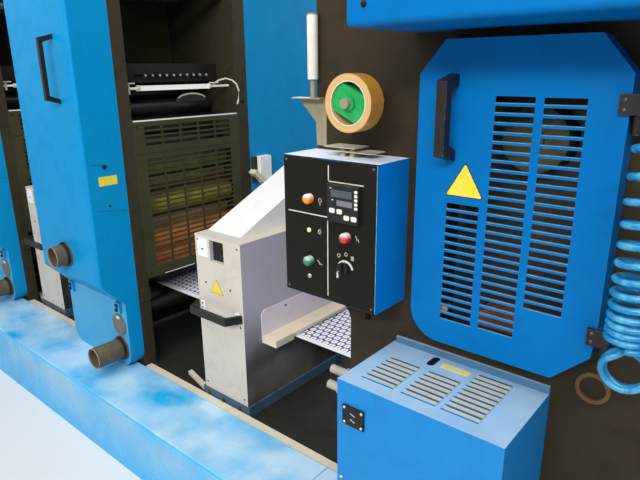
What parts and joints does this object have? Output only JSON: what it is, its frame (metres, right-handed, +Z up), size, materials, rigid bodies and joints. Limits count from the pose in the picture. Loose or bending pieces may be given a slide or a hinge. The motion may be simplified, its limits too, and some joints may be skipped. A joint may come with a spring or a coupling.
{
  "type": "letterpress label press",
  "caption": "Letterpress label press: blue print towers on a long bed, UV dryers between them, a paper web, and an end unit with control box, tape roll and louvred guard door.",
  "frame": {"origin": "on the floor, under the middle of the overall box", "axes": "+X along the web towards the end unit, -Y the operator side, +Z up"},
  "size_m": [5.034, 1.523, 1.95],
  "materials": {
    "blue_enamel": "semi-gloss",
    "plinth_enamel": "gloss",
    "frame_paint": "satin",
    "bed_paint": "satin",
    "grey_enamel": "satin",
    "cream_paint": "satin",
    "slate_paint": "satin",
    "guard_paint": "satin",
    "black_paint": "satin",
    "ink_rubber": "satin",
    "steel": "brushed",
    "lamp_diffuser": "satin",
    "grey_pvc": "satin",
    "black_plastic": "satin",
    "label_paper": "gloss",
    "button_plastic": "gloss",
    "kraft_tape": "satin",
    "green_plastic": "gloss",
    "white_plastic": "satin",
    "blue_hose": "gloss",
    "brass": "satin",
    "copper_paint": "satin"
  },
  "bodies": {
    "press": {"base_plinth": "plinth_enamel", "bed_frame": "bed_paint", "bed_rails": "cream_paint", "tower_covers": "blue_enamel", "tower_lower_boxes": "blue_enamel", "operator_frames": "frame_paint", "drive_frames": "frame_paint", "drive_covers": "blue_enamel", "side_guards": "guard_paint", "guard_bars": "guard_paint", "print_cylinders": "ink_rubber", "ink_rollers": "ink_rubber", "tie_bars": "steel", "lamp_bars": "lamp_diffuser", "tower_handles": "black_paint", "duct_stubs": "grey_pvc", "port_discs": "grey_pvc", "cover_latches": "steel", "dryer_cabinets": "grey_enamel", "dryer_hoods": "grey_enamel", "dryer_handles": "black_paint", "dryer_windows": "black_plastic", "dryer_exit_plates": "grey_enamel", "dryer_exit_shelves": "cream_paint", "dryer_bases": "slate_paint", "foot_brackets": "cream_paint", "web": "label_paper", "web_rollers": "steel", "end_unit_plate": "frame_paint", "end_unit_top_cover": "blue_enamel", "inner_baffle": "guard_paint", "end_unit_drums": "copper_paint", "door_hinges": "black_paint", "control_box": "blue_enamel", "control_panel": "black_plastic", "temperature_controller": "black_plastic", "push_buttons": "button_plastic", "selector_spindle": "steel", "tape_spindle": "steel", "tape_tray": "cream_paint", "blower_box": "blue_enamel", "blower_slats": "cream_paint", "blower_socket": "black_plastic", "side_plugs": "white_plastic", "plate_ring": "brass", "closing_sheets": "frame_paint", "ink_fountains": "black_paint", "edge_bracket": "steel", "hose_fittings": "brass", "hose_feed": "blue_hose", "hose_coil": "blue_hose", "hose_loop": "blue_hose", "hose_tail": "blue_hose"},
    "door": {"guard_door": "blue_enamel", "hinge_leaves": "black_paint", "door_handle": "black_paint", "door_lock": "brass"},
    "tape": {"tape_hub": "green_plastic", "tape_roll": "kraft_tape"},
    "knob": {"selector_knob": "black_plastic"}
  },
  "joints": [
    {"name": "door_swing", "type": "hinge", "parent": "press", "child": "door", "pos_m": [2.233, -0.5385, 0.858], "axis": [0, 0, 1], "range_deg": [0, 90]},
    {"name": "tape_spin", "type": "hinge", "parent": "press", "child": "tape", "pos_m": [1.647, -0.5785, 1.425], "axis": [0, 1, 0], "continuous": true},
    {"name": "selector_turn", "type": "hinge", "parent": "press", "child": "knob", "pos_m": [1.635, -0.6245, 1.017], "axis": [0, 1, 0], "range_deg": [-135, 135]}
  ]
}
